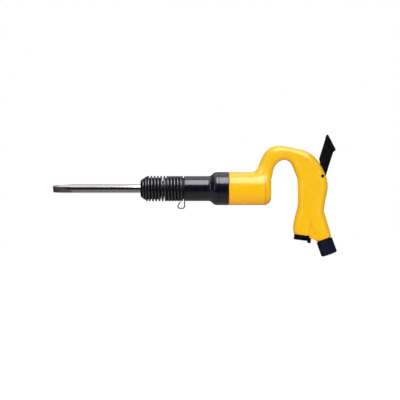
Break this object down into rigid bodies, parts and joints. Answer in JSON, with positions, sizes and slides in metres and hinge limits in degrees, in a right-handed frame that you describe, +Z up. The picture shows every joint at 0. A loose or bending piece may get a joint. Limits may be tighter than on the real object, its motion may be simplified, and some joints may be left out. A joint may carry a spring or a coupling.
{
  "type": "pneumatic chipping hammer",
  "caption": "Hand-held pneumatic chipping hammer: yellow gooseneck handle with a thumb lever, black barrel, coil spring chisel retainer and a flat chisel.",
  "frame": {"origin": "on the hammer's axis, in the mouth of the hexagonal chisel socket", "axes": "the chisel points to -X, the grip is at +X; +Z is up, towards the gooseneck's crown; +Y is across the hammer"},
  "size_m": [0.482, 0.0564, 0.2071],
  "materials": {
    "yellow_paint": "glossy yellow enamel on a steel casting",
    "black_steel": "glossy black finish on turned steel",
    "black_lever": "satin black finish on a forged lever",
    "spring_steel": "dark oiled spring wire",
    "tool_steel": "bare ground steel",
    "brass": "turned brass",
    "seal_rubber": "matt black rubber"
  },
  "bodies": {
    "housing": {"handle": "yellow_paint", "barrel": "black_steel", "nozzle_bush": "tool_steel", "retainer_spring": "spring_steel", "lock_wire": "spring_steel", "lock_ring": "black_steel", "valve_chest": "tool_steel", "valve_cover": "tool_steel", "valve_dowels": "tool_steel", "head_seal": "seal_rubber", "lever_pin": "black_lever", "throttle_seat": "brass", "stem_seal": "seal_rubber", "throttle_spring": "spring_steel", "inlet_bushing": "black_steel", "inlet_seal": "seal_rubber", "inlet_strainer": "brass", "exhaust_deflector": "seal_rubber"},
    "tool": {"chisel": "tool_steel"},
    "retainer": {"retainer_cup": "black_steel"},
    "hammer": {"piston": "tool_steel"},
    "distributor": {"distributor_valve": "tool_steel"},
    "lever": {"throttle_lever": "black_lever"},
    "throttle": {"throttle_valve": "tool_steel"}
  },
  "joints": [
    {"name": "chisel_slide", "type": "slide", "parent": "housing", "child": "tool", "axis": [-1, 0, 0], "range_m": [0, 0.007]},
    {"name": "retainer_stretch", "type": "slide", "parent": "housing", "child": "retainer", "axis": [-1, 0, 0], "range_m": [0, 0.004], "stiffness_N_per_m": 11000, "deforming": ["retainer_spring"]},
    {"name": "piston_stroke", "type": "slide", "parent": "housing", "child": "hammer", "axis": [1, 0, 0], "range_m": [0, 0.039]},
    {"name": "distributor_shift", "type": "slide", "parent": "housing", "child": "distributor", "axis": [1, 0, 0], "range_m": [0, 0.0015]},
    {"name": "lever_press", "type": "hinge", "parent": "housing", "child": "lever", "pos_m": [0.27887, 0, 0.021], "axis": [0, -1, 0], "range_deg": [0, 8], "stiffness_Nm_per_rad": 2.3, "springref_deg": -10},
    {"name": "throttle_lift", "type": "slide", "parent": "housing", "child": "throttle", "axis": [0.342, 0, -0.9397], "range_m": [0, 0.0048], "deforming": ["throttle_spring"]}
  ],
  "couplings": [
    {"joint": "throttle_lift", "follows": "lever_press", "m_per_rad": 0.0337}
  ]
}
